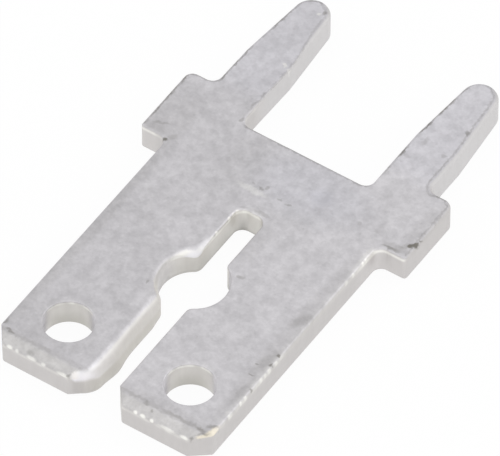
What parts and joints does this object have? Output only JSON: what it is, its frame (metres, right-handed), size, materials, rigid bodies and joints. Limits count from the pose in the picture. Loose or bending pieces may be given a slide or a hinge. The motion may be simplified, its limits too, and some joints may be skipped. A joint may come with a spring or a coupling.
{
  "type": "pcb tab terminal",
  "caption": "Flat stamped board terminal: a slotted push-on tab with a hole in each blade, shoulders that stop on the board, and tapered solder pins.",
  "frame": {"origin": "middle of the footprint, on the underside of the strip", "axes": "+X across the blades, +Y along them towards the solder pins, +Z through the strip to its upper face"},
  "size_m": [0.0078, 0.0136, 0.0008],
  "materials": {
    "tinned_brass": "matt tin plate over brass"
  },
  "bodies": {
    "root": {"tab_terminal": "tinned_brass"}
  },
  "joints": []
}
